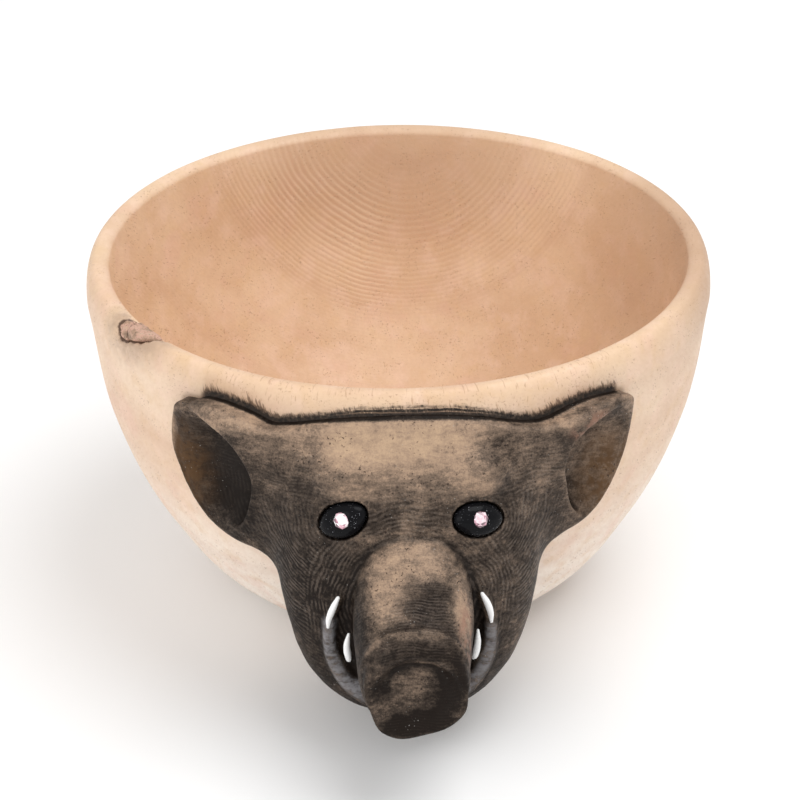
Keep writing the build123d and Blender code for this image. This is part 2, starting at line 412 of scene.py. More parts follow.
# Ears, laid on the wall as (bearing from the front, height): the outer edge from the tip down, then the
# hollow's outer edge from its top down, then the hollow's inner edge from its bottom up
EARS = {
    "left": {
        "edge": [
            (39.4, 84.0), (40.7, 79.0), (42.4, 72.5), (43.3, 65.0), (42.5, 59.4), (40.1, 52.0),
            (37.4, 47.0), (33.6, 44.6), (26.0, 42.4),
        ],
        "hollow_outer": [
            (37.4, 78.0), (39.0, 74.6), (40.2, 71.2), (41.5, 66.8), (42.0, 62.6), (41.3, 58.4),
            (39.0, 52.2), (36.4, 48.2), (33.6, 46.6), (31.4, 47.4),
        ],
        "hollow_inner": [
            (31.4, 47.4), (28.9, 51.0), (27.2, 56.6), (26.2, 62.4), (27.4, 68.6), (30.1, 73.8),
            (34.0, 76.6), (37.4, 78.0),
        ],
    },
    "right": {
        "edge": [
            (39.6, 84.0), (40.2, 78.0), (40.4, 72.0), (39.8, 65.5), (38.7, 60.0), (36.5, 53.8),
            (33.4, 49.0), (30.4, 46.8), (26.0, 45.0),
        ],
        "hollow_outer": [
            (36.0, 76.6), (38.2, 73.2), (38.9, 67.0), (38.1, 61.0), (35.8, 54.8), (33.2, 50.6),
            (30.8, 49.2),
        ],
        "hollow_inner": [
            (30.8, 49.2), (28.2, 53.2), (26.8, 58.6), (26.0, 64.4), (26.9, 70.0), (29.2, 73.6),
            (32.4, 75.7), (36.0, 76.6),
        ],
    },
}
EAR_MM_PER_DEGREE = 1.37
# How far an ear stands out of the wall, as (bearing, height)
EAR_RIM = [(8.0, -5.0), (15.0, 0.5), (21.0, 3.6), (27.0, 5.9), (31.0, 6.0), (36.0, 5.0), (42.0, 3.7)]
EAR_FLOOR = 0.5  # wood left over the wall at the bottom of the hollow
EAR_SCOOP = 9.5  # how far in from the outer edge the hollow reaches its floor

# Lips, tusks and the hollows behind them, each a path along its middle line
LIPS = {
    "left": [
        (0.2, -86.9, 12.2), (-12.5, -86.0, 17.0), (-16.4, -85.6, 22.0), (-18.6, -85.2, 28.2),
        (-18.4, -85.4, 34.5), (-16.2, -86.0, 42.0),
    ],
    "right": [
        (-0.2, -86.9, 12.2), (12.4, -86.0, 18.0), (16.0, -85.6, 23.4), (17.6, -85.2, 29.4),
        (17.2, -85.5, 35.6), (15.4, -86.2, 42.4),
    ],
}  # fmt: skip
LIP_RADII = [1.7, 1.9, 1.7, 1.4, 1.0, 0.5]
UPPER_TUSKS = {
    "left": [(-18.6, -86.1, 34.6), (-18.4, -86.5, 37.0), (-17.6, -86.8, 39.6), (-16.2, -87.0, 43.0)],
    "right": [(17.4, -86.2, 35.0), (17.2, -86.6, 37.6), (16.5, -86.9, 40.3), (15.2, -87.1, 43.2)],
}
UPPER_TUSK_RADII = [0.35, 0.65, 0.78, 0.7, 0.4]
LOWER_TUSKS = {
    "left": [(-14.1, -84.6, 24.6), (-14.3, -86.8, 26.8), (-14.6, -87.7, 30.8), (-14.1, -88.2, 34.2)],
    "right": [(13.5, -84.6, 24.4), (13.8, -86.7, 26.6), (14.3, -87.6, 30.8), (14.3, -88.0, 34.2)],
}
LOWER_TUSK_RADII = [0.35, 0.65, 0.82, 0.68, 0.3]
MOUTH_HOLLOWS = {
    "left": [(-14.6, -87.2, 42.0), (-15.2, -86.8, 36.4), (-14.8, -86.6, 30.4), (-12.6, -86.8, 23.0)],
    "right": [(13.8, -87.2, 42.0), (14.2, -86.8, 36.4), (13.8, -86.6, 30.4), (12.2, -86.8, 23.4)],
}
HOLLOW_RADII = [1.0, 2.5, 2.7, 1.8]


def ear_relief(p, side, height):
    """Distance to one ear, standing on the wall with its hollow scooped out."""
    across = np.abs(bearing(p)) * EAR_MM_PER_DEGREE
    scale = np.array([EAR_MM_PER_DEGREE, 1.0])
    edge, outer, inner = [
        path(np.array(EARS[side][key]) * scale, 22) for key in ("edge", "hollow_outer", "hollow_inner")
    ]
    root = np.array([(6.0, 46.0), (6.0, 84.0)]) * scale
    outline = outline_distance(across, p[:, 2], np.vstack([edge, root]))
    rim = np.interp(across / EAR_MM_PER_DEGREE, *curve(*zip(*EAR_RIM)))
    slab = smooth_max(outline, height - rim, 1.2)
    hollow = outline_distance(across, p[:, 2], np.vstack([outer[:-1], inner[:-1]]))
    slope = smooth_step(line_distance(across, p[:, 2], outer), 0, EAR_SCOOP)
    floor = EAR_FLOOR + (rim - EAR_FLOOR - 0.4) * (1 - slope)
    return slab, smooth_max(hollow, floor - height, 0.6)


def nose_field(x, y, z):
    """Distance to the blunt end of the snout: its outline, and its dished front."""
    outline = path(NOSE_OUTLINE + NOSE_OUTLINE[:1], 60)[:-1]
    edge = outline_distance(x, z - NOSE_Z, outline)
    tilt = radians(NOSE_TILT)
    front = (NOSE_Y - y) * cos(tilt) + (z - NOSE_Z) * sin(tilt)
    upper = smooth_step(z - NOSE_Z, -1, 8)
    dish = NOSE_DISH * smooth_step(-edge - 2.5 * upper, 0.5, 5.5) * (1 + 0.06 * (z - NOSE_Z))
    side = edge - 1.2 * np.maximum(y - NOSE_FLARE_Y, 0)
    return smooth_max(side, front + dish, 1.0 + NOSE_ROUNDING * upper)


def socket_field(p, side):
    """Distance to the socket that one eye sits in."""
    yaw = EYE_YAW * np.sign(EYES[side][0])
    return ellipsoid(p, EYES[side], np.array(EYE_HALF) + EYE_GAP, yaw, -EYE_PITCH, EYE_ROLL[side])


def head_field(p):
    """Distance to the carved head's surface, negative inside the wood."""
    x, y, z = p.T
    height = wall_height(p)
    head = loft(z, x, y, FACE, front_only=True)
    lowest, jaw_y = FACE[-1][0], FACE[-1][2]
    head = smooth_max(head, lowest + JAW_RISE * np.maximum(y - jaw_y, 0) - z, 3.0)
    for at in BROWS.values():
        head = smooth_min(head, ellipsoid(p, at, (6.0, 4.0, 4.0), 0, -25), 4.0)
    snout = loft(y, x, z, SNOUT)
    near = y < NOSE_FLARE_Y + 6
    snout[near] = smooth_max(snout[near], nose_field(x[near], y[near], z[near]), 1.2)
    ridge = np.exp(-(((y - NOSE_RIDGE_Y) / 1.3) ** 2))
    dip = 0.7 * np.exp(-(((y - NOSE_RIDGE_Y - 2.6) / 1.2) ** 2))
    snout -= NOSE_RIDGE * (ridge - dip) * smooth_step(z - NOSE_Z, 2, 9)
    crease = CREASE * np.exp(-(((head - snout) / CREASE_WIDTH) ** 2))
    head = smooth_min(head, snout, 2.4) + crease
    for side, sign in (("left", -1), ("right", 1)):
        near = (x * sign > 8) & (z > 30)
        slab, hollow = ear_relief(p[near], side, height[near])
        head[near] = smooth_max(smooth_min(head[near], slab, 6.0), -hollow, 0.5)
        near = (x * sign > -4) & (y < -78) & (z < 52)
        mouth = smooth_max(head[near], -tube(p[near], MOUTH_HOLLOWS[side], HOLLOW_RADII), 1.2)
        head[near] = smooth_min(mouth, tube(p[near], LIPS[side], LIP_RADII), 1.6)
        head = smooth_max(head, -socket_field(p, side), 0.4)
    rise = EAR_TOP_RISE * np.clip(height, 0, 6) * smooth_step(np.abs(bearing(p)), 30, 36)
    top = z - rise - np.interp(bearing(p), *curve(*zip(*HEAD_TOP)))
    head = smooth_max(head, 0.9 * top, 2.2)
    return np.maximum(head, -height - HEAD_SINK)


HEAD_BOX = ((-57.0, -113.0, 8.0), (57.0, -44.0, 85.0))
HEAD_STEP = 0.9


def carved_head():
    points, quads = surface_net(head_field, *HEAD_BOX, HEAD_STEP)
    for _ in range(3):
        points = settle(relax(points, quads), head_field, rounds=1)
    points, quads = subdivide(points, quads)
    for _ in range(2):
        points = settle(relax(points, quads, 0.35), head_field, rounds=1)
    return points, quads


# ---------------------------------------------------------------- the head's finish

# Scorching, with painted shade on a few spots, as (centre, half sizes, darkness from 0, bare, to 1, black),
# laid on one after another
SCORCH_AND_SHADE = [
    ((-2, -74, 75), (29, 16, 8), 0.25),  # forehead
    ((-3, -80, 67), (16, 8, 5), 0.44),
    ((-10, -78, 76), (11, 9, 4.5), 0.10),
    ((6, -78, 76), (9, 9, 4.5), 0.12),
    ((19.5, -74, 73), (6, 9, 5), 0.66),
    ((12, -78, 70), (5, 8, 3), 0.34),
    ((-24, -71, 71), (4.5, 9, 7), 0.50),
    ((-32, -64, 72), (6, 9, 7), 0.36),
    ((-36, -60, 77.5), (11, 12, 3.8), 0.02),  # tops of the ears
    ((33, -64, 76.5), (9, 9, 3.0), 0.28),
    ((-46, -56, 60), (9, 12, 18), 0.96),  # hollows of the ears
    # painted shadow: the steep inner wall of the left ear's hollow, darkened beyond its burn
    ((-38.5, -64, 60), (4.5, 12, 12), 1.25),
    ((42, -60, 62), (8, 12, 16), 0.50),
    ((-53.4, -58.0, 70.5), (2.2, 6, 9), 0.12),  # their outer edges
    ((50, -61.4, 75.5), (3, 5, 4.5), 0.45),
    ((-25, -74, 61), (7, 12, 9), 0.80),  # temples
    ((27, -72, 63), (7, 12, 9), 0.62),
    ((0, -86, 62), (10, 7, 6), 0.72),  # between the eyes
    ((-23, -78, 40), (12, 16, 19), 1.0),  # cheeks
    ((23, -78, 40), (12, 16, 19), 0.80),
    ((-14.8, -84, 60.0), (9.5, 6, 6.0), 0.90),  # round the eyes
    ((14.8, -84, 59.6), (9.0, 6, 5.6), 0.80),
    ((-13.5, -82, 67.0), (5.0, 5, 2.0), 0.32),  # brows
    ((14.5, -82, 67.0), (5.4, 5, 2.0), 0.32),
    ((0, -91, 54), (12, 9, 7), 0.35),  # bridge of the snout
    ((-6, -97, 49), (6, 8, 6), 0.32),
    ((3.5, -99, 48), (8, 5.5, 5), 0.90),
    ((11, -97, 45), (2.8, 8, 8), 0.34),
    ((-10, -104, 42), (3, 4, 4), 0.50),
    ((-13.2, -98, 42), (4.4, 13, 13), 0.93),  # left side of the snout
    ((0, -106, 44), (13, 3.6, 3.6), 0.86),
    ((0, -105.2, 45.4), (10, 1.5, 2.2), 0.64),  # the fold behind the nose
    # painted shade: the nose's face darkened just under its overhanging upper edge
    ((0, -109, 41), (11, 2.6, 2.4), 1.12),  # the nose, from its upper edge down
    ((1.5, -108, 37.2), (4.8, 3, 2.8), 0.50),
    ((-2.5, -107, 33.2), (5.0, 3, 3.8), 0.60),
    ((-6.5, -108, 28.0), (3.0, 3, 3.4), 0.62),
    ((8.6, -108, 33), (3.6, 5, 7), 1.15),
    ((-10.2, -107, 35), (2.6, 4, 6), 0.92),
    ((2, -109, 23.5), (12, 5, 4.0), 1.15),
    ((0, -86, 14), (30, 18, 9), 0.97),  # jaw
]
COMBED = [  # how clearly the fine tool lines show: centre, half sizes, strength
    ((-22, -80, 46), (13, 18, 17), 1.0),
    ((22, -80, 46), (13, 18, 17), 1.0),
    ((0, -87, 61), (12, 7, 7), 0.8),
    ((27, -72, 63), (8, 12, 9), 0.8),
    ((-25, -74, 61), (7, 12, 9), 0.5),
    ((2, -100, 47), (11, 7, 6), 0.7),
    ((0, -108, 42), (11, 4, 3), 0.35),
    ((0, -108, 31), (12, 4, 9), 0.04),
]
WORN = [((-50, -54, 60), (6.5, 14, 15)), ((44, -60, 58), (7, 14, 12))]  # browner: centre, half sizes
RUBBED = [  # pinkish bare wood: centre, half sizes
    ((11.6, -99, 41), (2.0, 6, 7)),
    ((38.4, -70, 73.8), (3, 5, 2.2)),
    ((41.4, -68, 75.8), (3, 5, 1.9)),
]
SOOT = 1.15  # scorch of what is burned quite black
SMEARS = {  # whitish paint rubbed over the lips: path and half width
    "left": (
        [(-18.4, -86.0, 35.0), (-18.4, -87.0, 28.0), (-15.6, -88.0, 21.5), (-11.0, -88.0, 17.5)], 1.9
    ),
    "right": (
        [(17.0, -86.5, 33.0), (17.0, -87.4, 28.0), (14.6, -88.0, 22.5), (11.5, -88.0, 18.6)], 1.6
    ),
}


def burned(angle):
    """1 along the burned top edge of the head, 0 past its ends."""
    started = smooth_step(angle, BURNED_FROM - 1, BURNED_FROM + 0.5)
    return started * smooth_step(-angle, -BURNED_TO - 1, -BURNED_TO)


def nearness(p, centre, half):
    """1 at a centre, falling smoothly to 0 over about one and a half of the half sizes."""
    return np.exp(-1.1 * (((p - np.array(centre)) / np.array(half)) ** 2).sum(1) ** 1.5)


def layered(p, start, spots):
    """A value that starts even and is drawn towards each spot's own in turn."""
    value = np.full(len(p), start)
    for centre, half, target in spots:
        value += (target - value) * nearness(p, centre, half)
    return value


def head_values(p, hollowness):
    """The finish of the carved wood and its painted shade, as values on its points for the scorched
    material.
    """
    x, y, z = p.T
    scorch_and_shade = layered(p, 0.8, SCORCH_AND_SHADE)
    # painted shade: darker in the head's hollows; the ridges a little lighter, partly wear and partly
    # painted highlight
    scorch_and_shade += 0.45 * smooth_step(hollowness, 0.03, 0.45) - 0.12 * smooth_step(-hollowness, 0.06, 0.4)
    angle = bearing(p)
    line_gap = np.interp(angle, *curve(*zip(*HEAD_TOP))) - z
    on_wall = smooth_step(-wall_height(p), -1.5, -0.4) * smooth_step(-line_gap, -5.0, -3.0)
    scorch_and_shade = np.maximum(scorch_and_shade, SOOT * on_wall * burned(angle))
    eye = np.full(len(p), np.inf)
    for side, at in EYES.items():
        scorch_and_shade = np.maximum(scorch_and_shade, SOOT * smooth_step(-socket_field(p, side), -0.7, 0.0))
        eye = np.minimum(eye, np.hypot(x - at[0], z - at[2]))
    worn, rubbed = (np.max([nearness(p, *spot) for spot in spots], axis=0) for spots in (WORN, RUBBED))
    smear = np.zeros(len(p))
    for route, half in SMEARS.values():
        smear = np.maximum(smear, smooth_step(-tube(p, route, [half, half]), -0.9, 0.7))
    snout_middle = SNOUT[1][2]
    snout_ring = np.hypot(x, 0.9 * (z - snout_middle))
    on_face = smooth_step(y, -90, -87)
    return {
        "scorch_and_shade": scorch_and_shade,
        "worn": worn,
        "rubbed": rubbed,
        "smear": smear,
        "combed": layered(p, 0.12, COMBED),
        "ring_lines": eye,
        "ring_lines_here": on_face * smooth_step(-z, -66, -58) * smooth_step(np.abs(x), 9, 13),
        "snout_lines": snout_ring,
        "snout_lines_here": on_face * smooth_step(-snout_ring, -27, -20),
        "level_lines": z + np.minimum(y + 84, 0) + 0.12 * np.abs(x),
    }


CHISEL = [(9.0, 0.14, 11), (4.0, 0.08, 12), (1.8, 0.035, 13)]  # tool marks: cell, depth, seed
HOLLOW_ROUNDS = 36  # smoothing against which hollows and ridges are told apart


def finished_head():
    """The carved head with its tool marks, pressed mostly inwards."""
    points, quads = carved_head()
    normals = gradient(points, head_field)
    normals /= np.maximum(np.linalg.norm(normals, axis=1), 1e-9)[:, None]
    marks = sum(depth * (value_noise(points, cell, seed) - 0.6) for cell, depth, seed in CHISEL)
    calm = smooth_step(wall_height(points), 0.0, 1.5)
    carved = points + normals * (marks * calm)[:, None]
    hollowness = ((relax(points, quads, 0.6, HOLLOW_ROUNDS) - points) * normals).sum(1)
    return carved, quads, head_values(points, hollowness)


# ---------------------------------------------------------------- the bowl's surface

KNOT_BEARING, KNOT_RUN = -56.4, CREST_RUN - 1.8
KNOT_OUTLINE = [  # mm along the rim, towards the head, and in from the wall, round the knot
    (-7.3, -1.0), (-6.7, 1.4), (-5.6, 3.9), (-1.3, 4.9), (4.0, 5.0), (8.0, 4.0), (6.6, 1.6),
    (4.2, -0.5), (1.5, -1.8), (-1.2, -2.7), (-3.6, -3.8), (-6.4, -3.1),
]  # fmt: skip
KNOT_LOBE = (2.2, 3.4)  # the speckled lobe beyond the crack starts this far to the left
KNOT_CRACK = [(-3.6, 3.6), (-2.6, 1.0), (-2.5, -0.6), (-1.3, -2.0), (-0.4, -3.2)]
SHADE_AND_DARKER_WOOD = [  # partly painted shade, partly darker heartwood, on the upper back wall, the right rim and the right inner wall: centre, half sizes, strength
    ((0, 70, 76), (70, 14, 20), 0.85),
    ((70, 15, 82), (14, 60, 14), 1.35),
    ((62, 25, 60), (16, 34, 26), 0.75),
]
BARK_DEPTH, BARK_WIDTH = 0.9, 0.45
BURN_DEPTH, BURN_WIDTH, BURN_AT = 0.30, 0.7, 0.9  # groove burned along the head's top edge


def on_knot(angle, run):
    """Places near the knot, in mm along and across the rim, with the knot's roughness added."""
    along = (angle - KNOT_BEARING) * radians(1) * OUTER_WALL[-1][0]
    return along, run - KNOT_RUN + 0.16 * np.sin(2.3 * along) + 0.05 * np.sin(8.9 * along + 1.0)


def knot_gap(angle, run):
    """Signed distance to the knot's outline, in mm over the rim's surface."""
    outline = path(KNOT_OUTLINE + KNOT_OUTLINE[:1], 48)[:-1]
    return outline_distance(*on_knot(angle, run), outline)


def bark(angle, run, gap):
    """Where bark shows round the knot: hardly on the inner side, except at both ends."""
    along, across = on_knot(angle, run)
    at_ends = np.maximum(smooth_step(-along, 1.0, 3.0), smooth_step(along, 5.2, 6.8))
    shown = 0.2 + 0.8 * np.maximum(smooth_step(-across, -3.0, -1.2), at_ends)
    return shown * np.exp(-((gap / (BARK_WIDTH * (0.5 + 0.5 * shown))) ** 2))


def bowl_surface():
    """The bowl's points and faces, and the values that its material reads."""
    def many_sides(a):
        return 1 + 2.4 * (np.abs(a) < 47) + 3.5 * (np.abs(a - KNOT_BEARING) < 6)

    def many_rows(run):
        return 0.5 + 0.5 * (run > 60) + 2.0 * (np.abs(run - CREST_RUN + 5) < 11)

    angles = spread(-180, 180, BOWL_SIDES + 1, many_sides)[:-1]
    runs = spread(0, PROFILE_RUN[-1], BOWL_ROWS, many_rows)[1:-1]
    angle, run = np.tile(angles, len(runs)), np.repeat(runs, len(angles))
    plain = on_bowl(angle, run, 0.0)
    edge = np.full(len(plain), 60.0)
    near_head = (np.abs(angle) < 50) & (run < CREST_RUN + 2) & (plain[:, 2] > 4)
    edge[near_head] = head_field(plain[near_head])
    line = np.interp(angle, *curve(*zip(*HEAD_TOP)))
    over_head = smooth_step(plain[:, 2] - line, -2.5, -0.5) * (edge < 40) * burned(angle)
    knot = knot_gap(angle, run)
    height = 0.22 * (value_noise(plain, 30, 21) - 1) + 0.05 * (value_noise(plain, 8, 22) - 1)
    height -= over_head * BURN_DEPTH * np.exp(-(((edge - BURN_AT) / BURN_WIDTH) ** 2))
    around = bark(angle, run, knot)
    height -= BARK_DEPTH * around + 1.6 * smooth_step(-knot, 0.2, 1.0)
    height *= smooth_step(plain[:, 2], 0.0, 3.0)
    points = on_bowl(angle, run, height)
    foot, floor = (0, 0, PROFILE[0][1]), (0, 0, PROFILE[-1][1])
    values = {
        "edge": edge,
        "over_head": over_head,
        "along": angle * radians(1) * OUTER_WALL[-1][0],
        "inside": smooth_step(run, CREST_RUN, CREST_RUN + 4),
        "shade_and_heartwood": layered(plain, 0.0, SHADE_AND_DARKER_WOOD),
        "knot": knot,
        "bark": around,
    }
    values = {key: np.r_[numbers, numbers[0], numbers[-1]] for key, numbers in values.items()}
    return np.vstack([points, [foot, floor]]), ring_faces(len(runs), len(angles)), values


KNOT_RINGS, KNOT_SIDES = 44, 128


def knot_wood():
    """The knot's own lump of wood, in its bark: points and faces, and where it is cracked."""
    outline = path(KNOT_OUTLINE + KNOT_OUTLINE[:1], KNOT_SIDES + 1)[:-1]
    middle = outline.mean(0)
    top = [(share, True) for share in np.linspace(1, 0.02, KNOT_RINGS)]
    under = [(share, False) for share in (0.3, 0.7, 0.95)]
    rings, cracks = [], []
    for share, upper in under + top:
        along, across = (middle + (outline - middle) * (0.985 * share)).T
        flat = np.c_[along, across, 0 * along]
        bend = 0.5 * value_noise(flat, 1.5, 33)
        crack = np.exp(-((line_distance(along + bend, across, path(KNOT_CRACK, 12)) / 0.4) ** 2))
        layers = np.sin(5.0 * across - 1.2 * along + 1.5 * value_noise(flat, 3, 32))
        lobe = smooth_step(-along, *KNOT_LOBE)
        layered_part = smooth_step(across, 0.5, 2.0) * smooth_step(-along, 0.0, 2.0)
        swell = 0.55 * np.exp(-((along - 2.6) / 4.0) ** 2 - ((across - 0.2) / 2.2) ** 2)
        height = 0.1 + swell - 0.25 * lobe - 1.6 * share**14 - 0.8 * crack + 0.14 * layers * layered_part
        height += (0.16 + 0.2 * lobe) * (value_noise(flat, 1.1, 31) - 1)
        angle = KNOT_BEARING + np.degrees(along / OUTER_WALL[-1][0])
        rings.append(on_bowl(angle, KNOT_RUN + across, height if upper else -2.2))
        speckled = 0.5 * lobe * smooth_step(value_noise(flat, 0.6, 34), 0.9, 1.2)
        gaps = 0.6 * layered_part * smooth_step(-layers, 0.2, 0.9)
        cracks.append(np.maximum(crack, np.maximum(speckled, gaps)))
    points = np.vstack(rings + [rings[0].mean(0)[None], rings[-1].mean(0)[None]])
    points[:, 2] = np.minimum(points[:, 2], HEIGHT)
    cracks = np.concatenate(cracks + [[0.0, cracks[-1].mean()]])
    return points, ring_faces(len(rings), KNOT_SIDES), {"crack": cracks}


# ---------------------------------------------------------------- eyes and stones

STONE_YAW, STONE_PITCH = 4.0, 30.0  # degrees that each stone looks outwards and up
STONE_SEAT = 2.4  # from the middle of the eye out to the stone's girdle
STONE_SIDES = 8
STONE_SPARKLE = {"left": (5, 0.0, 0.9), "right": (9, -0.55, 0.7)}  # seed, dullest and brightest facet
STONE_RINGS = [  # from its table to its back: radius, height and turn in steps of a side
    (1.05, 0.75, 0.0), (1.55, 0.46, 0.5), (1.95, 0.0, 0.0), (1.95, -0.35, 0.0), (1.05, -1.25, 0.0),
]  # fmt: skip
EYE_RINGS, EYE_SIDES = 40, 64


def eye_dome(side):
    """A resin eye, pointed a little at its corners and not quite even."""
    sign = np.sign(EYES[side][0])
    polar = np.linspace(0, pi, EYE_RINGS + 2)[1:-1]
    round_it = np.linspace(0, 2 * pi, EYE_SIDES, endpoint=False)
    polar, round_it = np.repeat(polar, EYE_SIDES), np.tile(round_it, EYE_RINGS)
    ball = np.stack([np.sin(polar) * np.cos(round_it), np.cos(polar), np.sin(polar) * np.sin(round_it)], -1)
    ball = np.vstack([ball, [(0, 1, 0), (0, -1, 0)]])
    size = 1 - 0.012 * (value_noise(ball, 0.5, 41 + int(sign)) + 1)
    shape = ball * size[:, None] * np.array(EYE_HALF)
    shape[:, 2] *= 1 - 0.16 * ball[:, 0] ** 2
    points = shape @ turn(sign * EYE_YAW, -EYE_PITCH, EYE_ROLL[side]).T + np.array(EYES[side])
    return points, ring_faces(EYE_RINGS, EYE_SIDES)


def stone_place(points, side):
    """Points of a stone whose table faces +Z, seated in its eye."""
    sign = np.sign(EYES[side][0])
    x, y, z = points.T
    out = np.stack([x, -STONE_SEAT - z, y], -1)
    return out @ turn(sign * STONE_YAW, -STONE_PITCH).T + np.array(EYES[side])


def cut_stone(side):
    """A faceted stone: table, star and kite facets, girdle and blunt back."""
    step = 2 * pi / STONE_SIDES
    k = np.arange(STONE_SIDES)
    rings = [
        np.stack([r * np.cos((k + t) * step), r * np.sin((k + t) * step), np.full(STONE_SIDES, h)], -1)
        for r, h, t in STONE_RINGS
    ]
    table, crown, girdle, belt, back = (np.arange(STONE_SIDES) + i * STONE_SIDES for i in range(5))
    faces = [tuple(table), tuple(back[::-1])]
    for i in range(STONE_SIDES):
        j = (i + 1) % STONE_SIDES
        faces += [(table[i], crown[i], table[j]), (table[j], crown[i], crown[j])]
        faces += [(crown[i], girdle[i], girdle[j]), (crown[i], girdle[j], crown[j])]
        faces += [(girdle[i], belt[i], belt[j], girdle[j]), (belt[i], back[i], back[j], belt[j])]
    seed, dullest, brightest = STONE_SPARKLE[side]
    sparkle = dullest + (brightest - dullest) * np.random.default_rng(seed).random(len(faces))
    return stone_place(np.vstack(rings), side), faces, {"sparkle": sparkle}


# ---------------------------------------------------------------- materials


class Shader:
    """A node material while it is being put together. Lengths in it are in millimetres."""

    def __init__(self, name):
        self.material = bpy.data.materials.new(name)
        self.material.use_nodes = True
        self.tree = self.material.node_tree
        self.surface = self.tree.nodes["Principled BSDF"]

    def put(self, socket, value):
        if isinstance(value, bpy.types.NodeSocket):
            self.tree.links.new(value, socket)
        else:
            socket.default_value = value

    def node(self, kind, *values, **settings):
        node = self.tree.nodes.new("ShaderNode" + kind)
        for key, value in settings.items():
            setattr(node, key, value)
        for socket, value in zip(node.inputs, values):
            if value is not None:
                self.put(socket, value)
        return node

    def set(self, **values):
        for key, value in values.items():
            self.put(self.surface.inputs[key.replace("_", " ")], value)

    def math(self, operation, *values):
        return self.node("Math", *values, operation=operation).outputs[0]

    def vector(self, operation, *values):
        node = self.node("VectorMath", *values, operation=operation)
        return node.outputs["Value" if operation in ("DOT_PRODUCT", "LENGTH") else "Vector"]

    def scaled(self, vector, factor):
        node = self.node("VectorMath", vector, operation="SCALE")
        self.put(node.inputs["Scale"], factor)
        return node.outputs["Vector"]

    def place(self):
        """Position on the object, in millimetres."""
        return self.scaled(self.node("TexCoord").outputs["Object"], 1 / MM)

    def value(self, name):
        return self.node("Attribute", attribute_name=name).outputs["Fac"]

    def noise(self, at, cell, detail=2.0, roughness=0.5):
        """Noise from 0 to 1, around 0.5, that changes over about one cell."""
        return self.node("TexNoise", at, None, 1 / cell, detail, roughness).outputs[0]

    def spread(self, value, low, high, to_low=0.0, to_high=1.0):
        """A value eased from one range into another, and held at its ends."""
        node = self.node("MapRange", value, low, high, to_low, to_high, interpolation_type="SMOOTHSTEP")
        return node.outputs[0]

    def times(self, *values):
        total = values[0]
        for value in values[1:]:
            total = self.math("MULTIPLY", total, value)
        return total

    def plus(self, *values):
        total = values[0]
        for value in values[1:]:
            total = self.math("ADD", total, value)
        return total

    def mix(self, share, a, b, blend_type="MIX"):
        node = self.node("Mix", data_type="RGBA", blend_type=blend_type)
        for socket, value in zip((node.inputs[0], node.inputs[6], node.inputs[7]), (share, a, b)):
            self.put(socket, value)
        return node.outputs[2]

    def paint(self, colour, *layers):
        """A colour with (share, colour) layers laid over it in turn."""
        for share, tone in layers:
            colour = self.mix(share, colour, (*tone, 1))
        return colour

    def tints(self, value, stops):
        """Colours along a value, from (place, colour) pairs."""
        node = self.node("ValToRGB", value)
        marks = node.color_ramp.elements
        while len(marks) < len(stops):
            marks.new(0.5)
        for mark, (at, colour) in zip(marks, stops):
            mark.position, mark.color = at, (*colour, 1)
        return node.outputs[0]

    def bump(self, height, depth):
        """Relief from a height of 0 to 1, with its depth in millimetres."""
        node = self.node("Bump")
        node.inputs["Distance"].default_value = depth * MM
        self.put(node.inputs["Height"], height)
        self.set(Normal=node.outputs[0])


GRAIN = Vector((0.066, 1.0, -0.606)).normalized()  # direction of the wood's fibres
PITH = (3.7, 67.0, 93.0)  # a point on the middle of the growth rings, above the rim at the back
RING_AREA = 112.0  # square mm, over pi, that each year's growth adds
EVEN_RINGS_R = 36.0  # nearer to the pith than this the rings are evenly wide


def wood_coordinates(shader, long):
    """Distance from the pith, and a place that is drawn out along the fibres."""
    at = shader.place()
    from_pith = shader.vector("SUBTRACT", at, PITH)
    across = shader.vector("LENGTH", shader.vector("CROSS_PRODUCT", from_pith, GRAIN))
    along = shader.vector("DOT_PRODUCT", from_pith, GRAIN)
    shift = (shader.times(along, part * (1 - 1 / long)) for part in GRAIN)
    shift = shader.node("CombineXYZ", *shift).outputs[0]
    return at, across, shader.vector("SUBTRACT", from_pith, shift)


SCRIBBLE_PITCH = 0.85  # between the lines scratched along the burned edge


def growth_rings(s, at, radius, inside, up):
    """Late and early wood of the growth rings, and a value that wanders across them."""
    wander = s.times(s.plus(s.noise(at, 24, 3), -0.5), 1.6)
    outer_r = s.math("MAXIMUM", radius, EVEN_RINGS_R)
    inner_r = s.math("MINIMUM", radius, EVEN_RINGS_R)
    years = s.plus(
        s.times(outer_r, outer_r, 1 / RING_AREA), s.times(inner_r, 2 * EVEN_RINGS_R / RING_AREA),
        wander, s.times(s.noise(at, 3.4, 2), 0.3),
    )
    wave = s.math("SINE", s.times(years, 2 * pi))
    across = s.vector("DOT_PRODUCT", at, (1, 0, 0))
    clear = s.times(
        s.spread(radius, 57, 44, 0.10, 1.0), s.spread(across, -9, 3, 1.0, 0.42), inside,
        s.spread(s.noise(at, 16, 3), 0.3, 0.62, 0.45, 1.0), s.spread(radius, 16, 31, 0.25, 1.0),
        s.spread(up, 84.5, 70, 0.30, 1.0),
    )
    late, early = s.spread(wave, 0.0, 1.0), s.spread(wave, 0.0, -1.0)
    return s.times(late, clear), s.times(early, clear), wander


